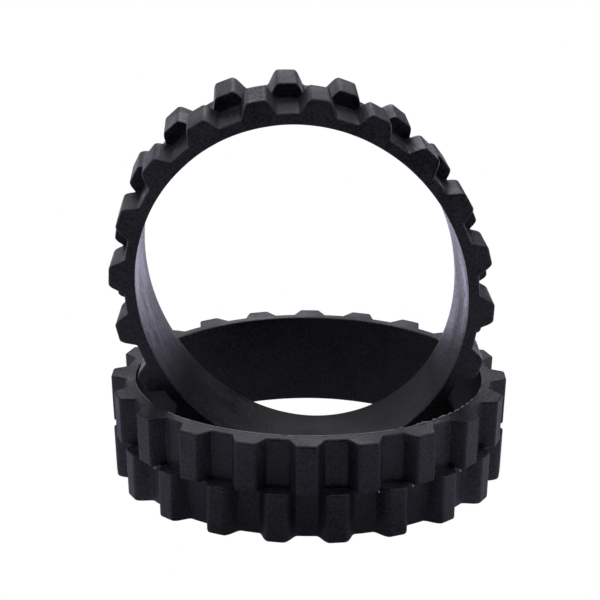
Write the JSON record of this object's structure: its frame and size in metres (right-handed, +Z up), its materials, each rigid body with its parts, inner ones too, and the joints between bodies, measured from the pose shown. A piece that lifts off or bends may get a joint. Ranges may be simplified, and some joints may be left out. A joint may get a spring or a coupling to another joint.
{
  "type": "pair of rubber drive wheel tyre skins",
  "caption": "Moulded rubber tyre skin with a smooth bore and staggered square tread lugs, shown lying flat with its twin standing in it.",
  "frame": {"origin": "centre of the lower tyre's bottom face, on that tyre's axis", "axes": "+Z up along the lower tyre's axis; -Y towards the front face of the upper tyre; +X to the right when seen from the front"},
  "size_m": [0.0736, 0.072, 0.0759],
  "materials": {
    "tyre_rubber": "matt moulded"
  },
  "bodies": {
    "lower_tyre": {"lower_tyre": "tyre_rubber"},
    "upper_tyre": {"upper_tyre": "tyre_rubber"}
  },
  "joints": [
    {"name": "lift_out", "type": "slide", "parent": "lower_tyre", "child": "upper_tyre", "axis": [0, 0, 1], "range_m": [0, 0.04]}
  ]
}
